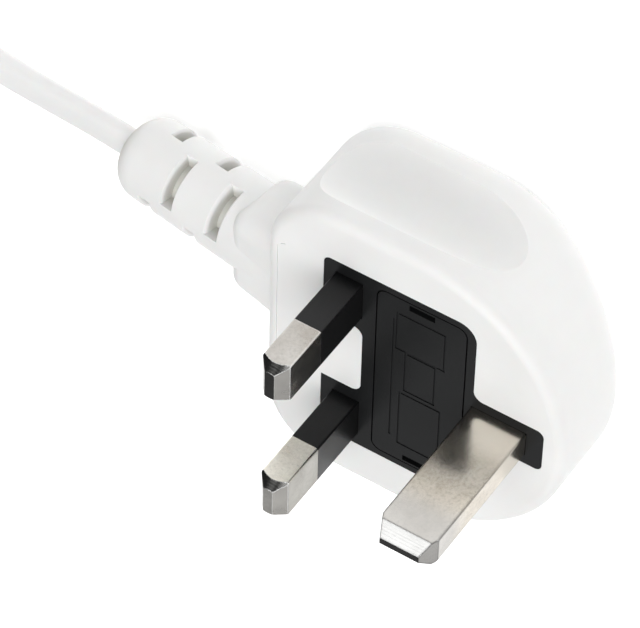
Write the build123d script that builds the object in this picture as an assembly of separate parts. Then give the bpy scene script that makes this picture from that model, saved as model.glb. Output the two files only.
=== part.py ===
from build123d import *
import os
from math import cos, degrees, pi, radians, sin, sqrt, tan

# Moulded three-pin mains plug on a thin flat two-core lead, in millimetres.
# The plug lies on its back with the pins up. X runs from the lead towards the earth pin,
# Y towards the line pin, and Z is up, out of the face. The origin is on the back,
# under the point midway between the line and neutral pins.

# Moulded body
body_thickness = 20.4
body_half_width = 23.25
cord_end_x = -12.3
nose_centre_x = 8.4
corner_radius = 10.0
face_edge_radius = 1.5
back_edge_radius = 4.5
back_slope_start_x = 17.0
back_slope_deg = 22.0
back_slope_blend_radius = 30.0

# Fine witness line in the face, near the lead
witness_x = -10.45
witness_half_length = 14.7
witness_end_x = -9.4
witness_width = 0.25
witness_depth = 0.12

# Finger grips hollowed out of both sides
grip_radius = 8.2
grip_depth = 2.6
grip_below_face = 9.0

# Strain relief: a square collar, then a round boot with slots in alternate quarters
boot_root_below_face = 10.3
boot_droop_deg = 8.3
collar_half_width = 6.6
collar_half_height = 5.6
collar_length = 9.3
collar_taper_deg = 3.0
collar_edge_radius = 2.4
boot_radius = 6.1
boot_tip_radius = 5.75
boot_length = 30.3
boot_tip_round = 3.7
boot_slot_count = 4
boot_slot_first = 11.9
boot_slot_pitch = 3.9
boot_slot_width = 1.6
boot_slot_lip = 0.85
boot_core_radius = 3.7
boot_rib_width = 1.3

# Flat two-core lead
cord_width = 4.7
cord_thickness = 2.9
core_spacing = 2.0
core_radius = 0.95
conductor_radius = 0.5
sheath_inner_end = 0.6

# Black pin carrier: its outline in the face, and the chamber behind it
carrier_west_x = -3.7
carrier_east_x = 18.43
carrier_end_wall = 0.97
carrier_window_east_x = 2.2
carrier_window_half_width = 5.94
earth_arm_east_x = 28.64
earth_arm_half_width = 3.57
carrier_corner_radius = 1.0
carrier_far_corner_radius = 2.6
carrier_inner_corner_radius = 1.4
face_plate_depth = 2.4
wiring_roof_depth = 10.5
carrier_depth = 13.6
cover_thickness = 1.0
carrier_wall = 1.2
mould_gap = 0.04

# Pins
pin_pitch = 22.2
line_pin_y = 11.1
small_pin_x_size = 4.0
small_pin_y_size = 6.35
small_pin_length = 17.7
small_tip_x = 1.4
small_tip_length = 1.6
small_tip_radius = 2.3
small_tip_flare = 0.75
small_head_margin = 0.7
small_head_height = 1.3
sleeve_length = 9.3
sleeve_wall = 0.5
sleeve_root = 1.6
earth_x_size = 8.0
earth_y_size = 4.0
earth_length = 22.7
earth_tip_x = 5.54
earth_tip_x_length = 2.65
earth_tip_y = 1.02
earth_tip_y_length = 1.75
earth_head_height = 2.0
earth_head_x_margin = 0.9
earth_head_y_margin = 0.5
pin_edge_radius = 0.25
pin_fit = 0.04

# Fuse and the carrier that pulls out of the face with it
fuse_x = 10.6
fuse_length = 25.4
fuse_cap_radius = 3.175
fuse_cap_length = 5.6
fuse_cap_wall = 0.4
fuse_tube_radius = 2.7
fuse_tube_bore = 1.6
fuse_wire_radius = 0.15
fuse_below_face = 5.3
lid_x_size = 12.8
lid_end_margin = 1.05
lid_thickness = 1.8
lid_corner_radius = 1.3
lid_gap = 0.2
well_depth = 9.6
jaw_y = 3.6
jaw_length = 3.0
jaw_half_width = 4.1
jaw_drop = 2.0
jaw_mouth = 5.0
jaw_fit = 0.08
end_stop_gap = 0.15
end_stop_thickness = 1.1
end_stop_half_width = 4.0
end_stop_drop = 1.4
pry_slot_length = 3.7
pry_slot_width = 0.95
pry_slot_edge = 0.75
pry_slot_depth = 1.3
label_line_width = 0.28
label_line_depth = 0.12
label_line_x = 6.7
label_line_margin = 4.0
label_frames = [
    (10.6, 9.1, 7.2, 6.8),
    (10.7, 2.1, 4.6, 7.2),
    (10.9, -7.0, 6.2, 10.0),
]
lid_y_size = fuse_length + 2 * (end_stop_gap + end_stop_thickness + lid_end_margin)
carrier_half_width = lid_y_size / 2 + lid_gap + carrier_end_wall

# Fuse clips, crimps and cores
clip_thickness = 0.45
clip_length = 4.0
clip_fit = 0.08
clip_rise = 2.2
clip_flare = 0.7
strip_thickness = 0.6
strip_width = 3.0
rivet_radius = 1.3
rivet_clearance = 0.05
crimp_depth = 12.1
crimp_outer_radius = 1.4
crimp_length = 3.6
tab_width = 2.0
slot_clearance = 0.15
core_bend_radius = 1.3
core_straight = 1.6
core_drop_shift = 0.8

# Coil of put-away lead, and the two-hole appliance connector on its end
coil_centre = (-110.0, -8.0)
coil_mean_radius = 27.0
coil_layers_across = 3
coil_layers_up = 3
coil_pitch_across = 3.08
coil_pitch_up = 4.85
coil_edge_radius = 2.0
connector_x = -130.0
connector_boot_y = -4.0
connector_boot_length = 12.0
connector_boot_radius = 3.6
connector_boot_root_radius = 4.6
connector_grip_length = 14.0
connector_grip_width = 17.0
connector_grip_height = 10.4
connector_grip_round = 3.2
connector_nose_length = 14.5
connector_nose_radius = 4.0
connector_nose_web = 5.6
contact_pitch = 8.6
contact_hole_radius = 1.35
contact_outer_radius = 1.75
contact_bore_radius = 1.2
contact_length = 12.5
contact_set_back = 0.8

# Route of the lead from the boot to the coil, and from the coil to the connector
boot_tip_x = cord_end_x - boot_length * cos(radians(boot_droop_deg))
boot_tip_z = body_thickness - boot_root_below_face - boot_length * sin(radians(boot_droop_deg))
lead_first_run = 4.5
lead_route = [
    (boot_tip_x, 0.0, boot_tip_z),
    (
        boot_tip_x - lead_first_run * cos(radians(boot_droop_deg)),
        0.0,
        boot_tip_z - lead_first_run * sin(radians(boot_droop_deg)),
    ),
    (-60.5, 0.0, 4.3),
    (-70.0, 0.5, 3.6),
    (-78.5, 4.4, 3.0),
    (-85.5, 9.6, 2.4),
    (-92.0, 15.0, 2.4),
]
connector_z = coil_layers_up * coil_pitch_up + connector_grip_height / 2
tail_route = [
    (-107.9, 15.9, 12.1),
    (-113.8, 16.1, 14.2),
    (-119.5, 15.3, 16.3),
    (-124.5, 12.3, 17.9),
    (-128.2, 7.6, 19.2),
    (connector_x, 2.0, connector_z),
    (connector_x, connector_boot_y, connector_z),
]


def below_face(depth):
    """Height of a level that lies this far under the face."""
    return body_thickness - depth


def prism(sketch, low, high):
    """A flat sketch drawn on the XY plane, extruded between two heights."""
    return Pos(0, 0, low) * extrude(sketch, high - low)


def box_between(x0, x1, y0, y1, z0, z1):
    """A plain block between three pairs of coordinates."""
    return Pos((x0 + x1) / 2, (y0 + y1) / 2, (z0 + z1) / 2) * Box(x1 - x0, y1 - y0, z1 - z0)


def one_solid(shape):
    """The single solid that a chain of cuts leaves."""
    return shape.solids().sort_by(SortBy.VOLUME)[-1]


def body_outline():
    """Outline of the moulding seen from the face: a rectangle with a round nose."""
    length = nose_centre_x - cord_end_x
    plain = Pos(cord_end_x + length / 2, 0) * Rectangle(length, 2 * body_half_width)
    east_half = Pos(body_half_width, 0) * Rectangle(2 * body_half_width, 2 * body_half_width)
    outline = plain + Pos(nose_centre_x, 0) * (Circle(body_half_width) & east_half)
    return fillet(outline.vertices().group_by(Axis.X)[0], corner_radius)


def boot_plane():
    """Local frame at the root of the strain relief, with its Z out along the lead."""
    droop = radians(boot_droop_deg)
    return Plane(
        origin=(cord_end_x, 0, below_face(boot_root_below_face)),
        x_dir=(0, -1, 0),
        z_dir=(-cos(droop), 0, -sin(droop)),
    )


def sloped_back():
    """The wedge that the back loses towards the nose, rounded where it starts."""
    far_x = nose_centre_x + 2 * body_half_width
    far_z = (far_x - back_slope_start_x) * tan(radians(back_slope_deg))
    near_x = cord_end_x - corner_radius
    path = FilletPolyline(
        (near_x, 0), (back_slope_start_x, 0), (far_x, far_z), radius=back_slope_blend_radius
    )
    below = -back_edge_radius
    closing = Polyline((far_x, far_z), (far_x, below), (near_x, below), (near_x, 0))
    profile = make_face(path.edges() + closing.edges())
    return extrude(Plane.XZ * profile, 2 * body_half_width, both=True)


def rounded_shell():
    """The body block with its sloped back and both edges rounded."""
    outline = body_outline()
    block = extrude(outline, body_thickness) - sloped_back()
    rim = outline.wires()[0]
    back_edges = []
    for edge in block.edges():
        middle = edge.position_at(0.5)
        level_edge = abs(edge.tangent_at(0.5).Z) < 0.5
        on_rim = rim.distance_to(Vertex(middle.X, middle.Y, 0)) < 0.01
        if level_edge and on_rim and middle.Z < body_thickness / 2:
            back_edges.append(edge)
    block = fillet(back_edges, back_edge_radius)
    face_edges = block.faces().sort_by(Axis.Z)[-1].outer_wire().edges()
    return fillet(face_edges, face_edge_radius)


def finger_grips():
    """Two long rounded hollows, one along each side wall."""
    axis_y = body_half_width - grip_depth + grip_radius
    bar = Rot(0, 90, 0) * Cylinder(grip_radius, 4 * body_half_width)
    level = below_face(grip_below_face)
    return [Pos(nose_centre_x, side * axis_y, level) * bar for side in (-1, 1)]


def boot_slot(start_deg):
    """Cutter for one quarter slot round the boot, with a rounded lip."""
    half = boot_slot_width / 2
    lip_start = boot_radius - boot_slot_lip
    outside = boot_radius + 1.5
    wide = half + boot_slot_lip
    left = Line((boot_core_radius, -half), (lip_start, -half))
    left_lip = RadiusArc((lip_start, -half), (boot_radius, -wide), boot_slot_lip)
    rim = Polyline((boot_radius, -wide), (outside, -wide), (outside, wide), (boot_radius, wide))
    right_lip = RadiusArc((boot_radius, wide), (lip_start, half), boot_slot_lip)
    right = Polyline((lip_start, half), (boot_core_radius, half), (boot_core_radius, -half))
    edges = left.edges() + left_lip.edges() + rim.edges() + right_lip.edges() + right.edges()
    rib_deg = degrees(boot_rib_width / boot_radius)
    profile = Plane.XZ * make_face(edges)
    ring_part = revolve(profile, Axis.Z, 90 - rib_deg)
    return Rot(0, 0, start_deg + rib_deg / 2) * ring_part


def boot():
    """Collar and slotted boot in the local frame of the boot plane."""
    inside = 2 * face_plate_depth
    collar_sketch = Rectangle(2 * collar_half_width, 2 * collar_half_height)
    collar = extrude(collar_sketch, collar_length + inside, taper=-collar_taper_deg)
    collar = Pos(0, 0, collar_length) * Rot(180, 0, 0) * collar
    end_edges = collar.edges().group_by(Axis.Z)[-1]
    side_edges = collar.edges().filter_by(lambda edge: abs(edge.tangent_at(0.5).Z) > 0.5)
    collar = fillet(end_edges + side_edges, collar_edge_radius)
    barrel = Pos(0, 0, boot_length / 2) * Cone(boot_radius, boot_tip_radius, boot_length)
    barrel = fillet(barrel.edges().sort_by(Axis.Z)[-1], boot_tip_round)
    for index in range(boot_slot_count):
        height = boot_slot_first + index * boot_slot_pitch
        start = 90 if index % 2 == 0 else 0
        for turn in (0, 180):
            barrel = barrel - Pos(0, 0, height) * boot_slot(start + turn)
    return collar + barrel


def cord_section(extra=0.0):
    """Flat rounded section of the lead."""
    return SlotOverall(cord_width + 2 * extra, cord_thickness + 2 * extra)


def sheath_inner_length():
    """Length of sheath from the boot's root into the pin carrier, along the lead's axis."""
    inner_x = carrier_west_x + carrier_wall + sheath_inner_end
    return (inner_x - cord_end_x) / cos(radians(boot_droop_deg))


def cord_tunnel(extra):
    """The sheath's straight passage through the strain relief and the end wall."""
    inner = sheath_inner_length()
    straight = Pos(0, 0, -inner) * extrude(cord_section(extra), inner + boot_length)
    return boot_plane() * straight


def chamber_outline(grow=0.0):
    """Outline of the pin carrier behind the face: a block with an arm for the earth pin."""
    west = carrier_west_x - grow
    east = carrier_east_x + grow
    half = carrier_half_width + grow
    arm_half = earth_arm_half_width + grow
    block = Pos((west + east) / 2, 0) * Rectangle(east - west, 2 * half)
    block = fillet(block.vertices().group_by(Axis.X)[-1], carrier_far_corner_radius + grow)
    block = fillet(block.vertices().group_by(Axis.X)[0], carrier_corner_radius + grow)
    arm_east = earth_arm_east_x + grow
    arm_west = carrier_east_x - carrier_far_corner_radius
    arm = Pos((arm_west + arm_east) / 2, 0) * Rectangle(arm_east - arm_west, 2 * arm_half)
    arm = fillet(arm.vertices().group_by(Axis.X)[-1], carrier_corner_radius + grow)
    outline = block + arm
    neck = [
        vertex
        for vertex in outline.vertices()
        if abs(vertex.X - east) < 0.01 and abs(abs(vertex.Y) - arm_half) < 0.01
    ]
    return fillet(neck, carrier_inner_corner_radius)


def face_window(shrink=0.0):
    """The white window between the line and neutral arms of the pin carrier."""
    east = carrier_window_east_x - shrink
    west = carrier_west_x - carrier_wall
    half = carrier_window_half_width - shrink
    window = Pos((west + east) / 2, 0) * Rectangle(east - west, 2 * half)
    return fillet(window.vertices().group_by(Axis.X)[-1], carrier_inner_corner_radius)


def carrier_space():
    """The hollow in the moulding that the pin carrier and its cover fill."""
    outline = chamber_outline(mould_gap)
    face_outline = outline - face_window(mould_gap)
    deep = below_face(carrier_depth + cover_thickness + mould_gap)
    shelf = below_face(face_plate_depth - mould_gap)
    return prism(outline, deep, shelf) + prism(face_outline, shelf, body_thickness + 1)


def witness_line():
    """Cutter for the fine line that the mould leaves round the lead's end of the face."""
    east = nose_centre_x
    west = witness_x - witness_width / 2
    radius = witness_end_x - witness_x
    size_x = east - west
    size_y = 2 * witness_half_length + witness_width
    outer = RectangleRounded(size_x, size_y, radius + witness_width / 2)
    inner = RectangleRounded(
        size_x - 2 * witness_width, size_y - 2 * witness_width, radius - witness_width / 2
    )
    ring = Pos((west + east) / 2, 0) * (outer - inner)
    kept = Pos(witness_end_x - size_x / 2, 0) * Rectangle(size_x, 2 * size_y)
    return prism(ring & kept, below_face(witness_depth), body_thickness + 1)


def make_plug_body():
    """White moulding with its finger grips and strain relief, in one piece."""
    body = rounded_shell()
    for grip in finger_grips():
        body = body - grip
    body = body + boot_plane() * boot()
    body = body - carrier_space() - cord_tunnel(mould_gap) - witness_line()
    return one_solid(body)


def well_outline(gap=0.0):
    """Outline of the fuse well in the face, or of the lid that closes it."""
    size_x = lid_x_size + 2 * gap
    size_y = lid_y_size + 2 * gap
    return Pos(fuse_x, 0) * RectangleRounded(size_x, size_y, lid_corner_radius + gap)


def small_pin_space():
    """Pocket for a line or neutral pin with its head, about the pin's own axis."""
    x_size = small_pin_x_size + 2 * pin_fit
    y_size = small_pin_y_size + 2 * pin_fit
    shank = prism(Rectangle(x_size, y_size), below_face(wiring_roof_depth), body_thickness + 1)
    head_x = small_pin_x_size + 2 * small_head_margin + 2 * pin_fit
    head_y = small_pin_y_size + 2 * small_head_margin + 2 * pin_fit
    head_top = below_face(wiring_roof_depth - small_head_height)
    head = prism(Rectangle(head_x, head_y), below_face(wiring_roof_depth + 1), head_top)
    return shank + head


def earth_pin_space():
    """Pocket for the earth pin and its head."""
    x_size = earth_x_size + 2 * pin_fit
    y_size = earth_y_size + 2 * pin_fit
    shank = prism(Rectangle(x_size, y_size), below_face(wiring_roof_depth), body_thickness + 1)
    head_x = earth_x_size + 2 * earth_head_x_margin + 2 * pin_fit
    head_y = earth_y_size + 2 * earth_head_y_margin + 2 * pin_fit
    head_top = below_face(wiring_roof_depth - earth_head_height)
    head = prism(Rectangle(head_x, head_y), below_face(carrier_depth + 1), head_top)
    return Pos(pin_pitch, 0, 0) * (shank + head)


def make_pin_carrier():
    """Black moulding, flush with the face, that holds the pins, the fuse well and the wiring."""
    outline = chamber_outline()
    shelf = below_face(face_plate_depth)
    carrier = prism(outline, below_face(carrier_depth), shelf)
    carrier = carrier + prism(outline - face_window(), shelf, body_thickness)
    west = carrier_west_x + carrier_wall
    east = carrier_east_x - carrier_wall
    half = carrier_half_width - carrier_wall
    deep = below_face(carrier_depth + 1)
    wiring = box_between(west, east, -half, half, deep, below_face(wiring_roof_depth))
    bay_east = fuse_x - lid_x_size / 2 - lid_gap - carrier_wall
    bay_half = carrier_window_half_width - carrier_wall
    bay_top = below_face(face_plate_depth + carrier_wall)
    bay = box_between(west, bay_east, -bay_half, bay_half, deep, bay_top)
    well = prism(well_outline(lid_gap), below_face(well_depth), body_thickness + 1)
    carrier = carrier - wiring - bay - well - earth_pin_space()
    for side in (-1, 1):
        carrier = carrier - Pos(0, side * line_pin_y, 0) * small_pin_space()
        carrier = carrier - clip_tab(side, slot_clearance)
    return one_solid(carrier - cord_tunnel(mould_gap))


def make_carrier_cover():
    """Rear cover of the pin carrier, with posts that hold the pins' heads down."""
    cover = prism(
        chamber_outline(), below_face(carrier_depth + cover_thickness), below_face(carrier_depth)
    )
    rivet_end = wiring_roof_depth + strip_thickness + rivet_radius / 2
    post_top = below_face(rivet_end + mould_gap)
    post = Cylinder(rivet_radius + carrier_wall / 2, post_top - below_face(carrier_depth))
    post_middle = (post_top + below_face(carrier_depth)) / 2
    cover = cover + Pos(0, line_pin_y, post_middle) * post
    earth_x = earth_x_size - 2 * carrier_wall
    earth_post = Pos(pin_pitch, 0) * Rectangle(earth_x, earth_y_size - carrier_wall)
    earth_head_bottom = below_face(wiring_roof_depth + mould_gap)
    cover = cover + prism(earth_post, below_face(carrier_depth), earth_head_bottom)
    return one_solid(cover)


def pin_bar(x_size, y_size, root, length):
    """A straight bar with rounded long edges that stands out of the face by a pin's length."""
    return prism(RectangleRounded(x_size, y_size, pin_edge_radius), root, body_thickness + length)


def tapered_profile(size, tip_size, tip_length, root, length):
    """Outline of a pin seen from one side: straight, then tapered to its tip."""
    top = body_thickness + length
    bevel = top - tip_length
    return make_face(
        Polyline(
            (-size / 2, root), (size / 2, root), (size / 2, bevel), (tip_size / 2, top),
            (-tip_size / 2, top), (-size / 2, bevel), (-size / 2, root),
        ).edges()
    )


def turned_tip(root):
    """A round bar with a conical end that trims the tip of a line or neutral pin."""
    top = body_thickness + small_pin_length
    radius = small_pin_y_size
    flare_low = top - (radius - small_tip_radius) / small_tip_flare
    profile = make_face(
        Polyline(
            (0, root), (radius, root), (radius, flare_low), (small_tip_radius, top), (0, top),
            (0, root),
        ).edges()
    )
    return revolve(Plane.XZ * profile, Axis.Z, 360)


def sleeve_section(outer):
    """Section of a line or neutral pin outside or inside its sleeve."""
    trim = 0.0 if outer else 2 * sleeve_wall
    radius = pin_edge_radius if outer else pin_edge_radius / 2
    return RectangleRounded(small_pin_x_size - trim, small_pin_y_size - trim, radius)


def small_pin():
    """Line or neutral pin about its own axis: blade, waist under the sleeve, and head."""
    root = below_face(wiring_roof_depth)
    blade = pin_bar(small_pin_x_size, small_pin_y_size, root, small_pin_length)
    taper = tapered_profile(
        small_pin_x_size, small_tip_x, small_tip_length, root, small_pin_length
    )
    blade = blade & extrude(Plane.XZ * taper, small_pin_y_size, both=True)
    blade = blade & turned_tip(root)
    low = below_face(sleeve_root)
    high = body_thickness + sleeve_length
    waist_cut = prism(sleeve_section(True), low, high) - prism(sleeve_section(False), low, high)
    collar = prism(Rectangle(2 * small_pin_x_size, 2 * small_pin_y_size), low, high)
    collar = collar - prism(sleeve_section(True), low - 1, high + 1)
    head_x = small_pin_x_size + 2 * small_head_margin
    head_y = small_pin_y_size + 2 * small_head_margin
    head = prism(Rectangle(head_x, head_y), root, root + small_head_height)
    return blade - waist_cut - collar + head


def crimp_barrel(middle_x, middle_y):
    """Open barrel under the roof of the wiring space, lying along Y."""
    tube = Cylinder(crimp_outer_radius, crimp_length)
    tube = tube - Cylinder(core_radius + mould_gap, crimp_length + 1)
    return Pos(middle_x, middle_y, below_face(crimp_depth)) * Rot(90, 0, 0) * tube


def make_line_pin():
    """Line pin, with a rivet end that holds its fuse clip."""
    rivet_height = strip_thickness + rivet_radius / 2
    rivet_low = below_face(wiring_roof_depth + rivet_height)
    rivet = Pos(0, 0, rivet_low + rivet_height / 2) * Cylinder(rivet_radius, rivet_height)
    return one_solid(Pos(0, line_pin_y, 0) * (small_pin() + rivet))


def neutral_crimp_y():
    """Middle of the neutral pin's crimp barrel."""
    return -line_pin_y + tab_width + crimp_length / 2


def make_neutral_pin():
    """Neutral pin, with a crimp barrel on its inner end."""
    pin = Pos(0, -line_pin_y, 0) * small_pin()
    barrel_y = neutral_crimp_y()
    tab_end = barrel_y + crimp_length / 2
    high = below_face(wiring_roof_depth)
    low = below_face(crimp_depth - core_radius - mould_gap)
    tab = box_between(-tab_width / 2, tab_width / 2, -line_pin_y, tab_end, low, high)
    return one_solid(pin + tab + (crimp_barrel(0, barrel_y) - tab))


def make_earth_pin():
    """Solid earth pin with a wider head behind the face."""
    root = below_face(wiring_roof_depth)
    blade = pin_bar(earth_x_size, earth_y_size, root, earth_length)
    front = tapered_profile(earth_x_size, earth_tip_x, earth_tip_x_length, root, earth_length)
    side = tapered_profile(earth_y_size, earth_tip_y, earth_tip_y_length, root, earth_length)
    blade = blade & extrude(Plane.XZ * front, earth_y_size, both=True)
    blade = blade & extrude(Plane.YZ * side, earth_x_size, both=True)
    head_x = earth_x_size + 2 * earth_head_x_margin
    head_y = earth_y_size + 2 * earth_head_y_margin
    head = prism(Rectangle(head_x, head_y), root, root + earth_head_height)
    return one_solid(Pos(pin_pitch, 0, 0) * (blade + head))


def make_sleeve(side):
    """Black insulating sleeve moulded round the root of a line or neutral pin."""
    low = below_face(sleeve_root)
    high = body_thickness + sleeve_length
    sleeve = prism(sleeve_section(True) - sleeve_section(False), low, high)
    return one_solid(Pos(0, side * line_pin_y, 0) * sleeve)


def label_lines():
    """Shallow frames on the lid, left without any marking inside."""
    trim = 2 * label_line_width
    lines = []
    for middle_x, middle_y, size_x, size_y in label_frames:
        frame = Rectangle(size_x, size_y) - Rectangle(size_x - trim, size_y - trim)
        lines.append(Pos(middle_x, middle_y) * frame)
    line_length = lid_y_size - 2 * label_line_margin
    lines.append(Pos(label_line_x, 0) * Rectangle(label_line_width, line_length))
    depth = below_face(label_line_depth)
    return [prism(line, depth, body_thickness + 1) for line in lines]


def make_fuse_carrier():
    """Lid of the fuse well, with two jaws that hold the fuse and a stop at each end."""
    underside = below_face(lid_thickness)
    carrier = prism(well_outline(), underside, body_thickness)
    fuse_z = below_face(fuse_below_face)
    jaw_low = fuse_z - jaw_drop
    bore = Rot(90, 0, 0) * Cylinder(fuse_tube_radius + jaw_fit, lid_y_size)
    for side in (-1, 1):
        jaw_mid = side * jaw_y
        jaw = box_between(
            fuse_x - jaw_half_width, fuse_x + jaw_half_width,
            jaw_mid - jaw_length / 2, jaw_mid + jaw_length / 2, jaw_low, underside,
        )
        mouth = box_between(
            fuse_x - jaw_mouth / 2, fuse_x + jaw_mouth / 2,
            jaw_mid - jaw_length, jaw_mid + jaw_length, jaw_low - 1, fuse_z,
        )
        carrier = carrier + (jaw - Pos(fuse_x, 0, fuse_z) * bore - mouth)
        near = side * (fuse_length / 2 + end_stop_gap)
        far = near + side * end_stop_thickness
        carrier = carrier + box_between(
            fuse_x - end_stop_half_width, fuse_x + end_stop_half_width,
            min(near, far), max(near, far), fuse_z - end_stop_drop, underside,
        )
        slot_y = side * (lid_y_size / 2 - pry_slot_edge)
        slot = Pos(fuse_x, slot_y) * Rectangle(pry_slot_length, pry_slot_width)
        carrier = carrier - prism(slot, below_face(pry_slot_depth), body_thickness + 1)
    for line in label_lines():
        carrier = carrier - line
    return one_solid(carrier)


def along_fuse(shape):
    """Turns a shape made about Z to lie along the fuse's axis."""
    return Pos(fuse_x, 0, below_face(fuse_below_face)) * Rot(-90, 0, 0) * shape


def make_fuse_tube():
    """Ceramic tube of the fuse."""
    length = fuse_length - 2 * fuse_cap_wall
    tube = Cylinder(fuse_tube_radius, length) - Cylinder(fuse_tube_bore, length + 1)
    return one_solid(along_fuse(tube))


def make_fuse_cap(side):
    """Metal cap on one end of the fuse."""
    cap = Cylinder(fuse_cap_radius, fuse_cap_length)
    cap = fillet(cap.edges().filter_by(GeomType.CIRCLE).sort_by(Axis.Z)[-1], fuse_cap_wall)
    hollow = Pos(0, 0, -fuse_cap_wall) * Cylinder(fuse_tube_radius, fuse_cap_length)
    cap = Pos(0, 0, (fuse_length - fuse_cap_length) / 2) * (cap - hollow)
    if side < 0:
        cap = Rot(180, 0, 0) * cap
    return one_solid(along_fuse(cap))


def make_fuse_wire():
    """Fusible wire stretched between the caps."""
    length = fuse_length - 2 * fuse_cap_wall
    return one_solid(along_fuse(Cylinder(fuse_wire_radius, length)))


def clip_y(side):
    """Middle of a fuse clip, halfway along the cap that it grips."""
    return side * (fuse_length - fuse_cap_length) / 2


def fuse_clip(side):
    """Springy U that grips a fuse cap, open towards the face."""
    inner = fuse_cap_radius + clip_fit
    outer = inner + clip_thickness
    base = below_face(well_depth)
    top = below_face(fuse_below_face) + clip_rise
    lip = top - clip_flare
    profile = make_face(
        Polyline(
            (-outer, base), (outer, base), (outer, lip), (outer + clip_flare / 2, top),
            (inner + clip_flare / 2, top), (inner, lip), (inner, base + clip_thickness),
            (-inner, base + clip_thickness), (-inner, lip), (-inner - clip_flare / 2, top),
            (-outer - clip_flare / 2, top), (-outer, lip), (-outer, base),
        ).edges()
    )
    clip = extrude(Plane.XZ * profile, clip_length / 2, both=True)
    return Pos(fuse_x, clip_y(side), 0) * clip


def clip_tab(side, extra=0.0):
    """Tab that leads from a fuse clip down through the floor of the well."""
    middle_y = clip_y(side)
    half_x = tab_width / 2 + extra
    half_y = clip_thickness + extra
    low = below_face(wiring_roof_depth + strip_thickness) - extra
    high = below_face(well_depth) + extra
    return box_between(
        fuse_x - half_x, fuse_x + half_x, middle_y - half_y, middle_y + half_y, low, high
    )


def make_line_clip():
    """Fuse clip joined by a strip to the head of the line pin."""
    high = below_face(wiring_roof_depth)
    low = high - strip_thickness
    near_y = min(line_pin_y - strip_width / 2, clip_y(1) - clip_thickness)
    far_y = max(line_pin_y + strip_width / 2, clip_y(1) + clip_thickness)
    strip = box_between(-strip_width / 2, fuse_x + tab_width / 2, near_y, far_y, low, high)
    hole = Pos(0, line_pin_y, low) * Cylinder(rivet_radius + rivet_clearance, 4 * strip_thickness)
    return one_solid(fuse_clip(1) + clip_tab(1) + (strip - hole))


def load_crimp_y():
    """Middle of the load clip's crimp barrel."""
    return clip_y(-1) + clip_thickness + crimp_length / 2 + tab_width / 2


def make_load_clip():
    """Fuse clip with the crimp barrel of the brown core."""
    barrel_y = load_crimp_y()
    high = below_face(wiring_roof_depth)
    low = below_face(crimp_depth - core_radius - mould_gap)
    tab = box_between(
        fuse_x - tab_width / 2, fuse_x + tab_width / 2, clip_y(-1) - clip_thickness,
        barrel_y + crimp_length / 2, low, high,
    )
    barrel = crimp_barrel(fuse_x, barrel_y) - tab
    return one_solid(fuse_clip(-1) + clip_tab(-1) + tab + barrel)


def on_lead_axis(run, offset_y):
    """A point along the lead's straight axis, a run inward from the strain relief's root."""
    droop = radians(boot_droop_deg)
    level = below_face(boot_root_below_face) + run * sin(droop)
    return (cord_end_x + run * cos(droop), offset_y, level)


def core_path(side):
    """Route of the brown core (side 1) or the blue core (side -1) to its crimp."""
    low = below_face(crimp_depth)
    offset = side * core_spacing / 2
    start = on_lead_axis(sheath_inner_length(), offset)
    out = on_lead_axis(sheath_inner_length() + core_straight, offset)
    if side > 0:
        corner_y = offset + core_drop_shift
        points = [
            start, out, (out[0] + core_drop_shift, corner_y, low),
            (fuse_x, corner_y, low), (fuse_x, load_crimp_y(), low),
        ]
    else:
        points = [
            start, out, (0, offset - 2 * core_drop_shift, low), (0, neutral_crimp_y(), low),
        ]
    return FilletPolyline(*points, radius=core_bend_radius)


def swept_rod(path, radius, bore=0.0):
    """A round rod or tube along a path."""
    start = Plane(origin=path @ 0, z_dir=path % 0)
    section = Circle(radius)
    if bore:
        section = section - Circle(bore)
    return one_solid(sweep(start * section, path=path))


def make_core(side):
    """Coloured insulation of one core."""
    return swept_rod(core_path(side), core_radius, conductor_radius)


def make_conductor(side):
    """Copper strands inside a core."""
    return swept_rod(core_path(side), conductor_radius)


def make_sheath_end():
    """The moulded-in end of the lead's sheath."""
    return one_solid(cord_tunnel(0.0))


def corner_radii(points):
    """The largest tangent arcs that the runs of a route leave room for."""
    radii = []
    for before, here, after in zip(points, points[1:], points[2:]):
        first = Vector(*here) - Vector(*before)
        second = Vector(*after) - Vector(*here)
        turn = radians(first.get_angle(second))
        shorter = min(first.length, second.length)
        radii.append(0.45 * shorter / tan(turn / 2))
    return radii


def make_lead(route):
    """Flat lead along a route of straight runs and arcs, its broad side kept level."""
    radii = corner_radii(route)
    path = FilletPolyline(*route, radius=radii)
    start = Plane(origin=path @ 0, x_dir=Vector(0, 0, 1).cross(path % 0), z_dir=path % 0)
    lead = one_solid(sweep(start * cord_section(), path=path))
    area = cord_section().area
    print("bend radii", [round(radius, 1) for radius in radii], "length", round(path.length, 1))
    print("volume", round(lead.volume, 1), "section times length", round(area * path.length, 1))
    return lead


def make_cord_coil():
    """Outer shape of the coiled lead: a ring with rounded edges."""
    half_width = coil_layers_across * coil_pitch_across / 2
    height = coil_layers_up * coil_pitch_up
    ring = Circle(coil_mean_radius + half_width) - Circle(coil_mean_radius - half_width)
    coil = extrude(ring, height)
    coil = fillet(coil.edges().filter_by(GeomType.CIRCLE), coil_edge_radius)
    return one_solid(Pos(coil_centre[0], coil_centre[1], 0) * coil)


def connector_frame():
    """Local frame at the end of the connector's boot, with Z towards its front."""
    return Plane(
        origin=(connector_x, connector_boot_y, connector_z), x_dir=(1, 0, 0), z_dir=(0, -1, 0)
    )


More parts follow.
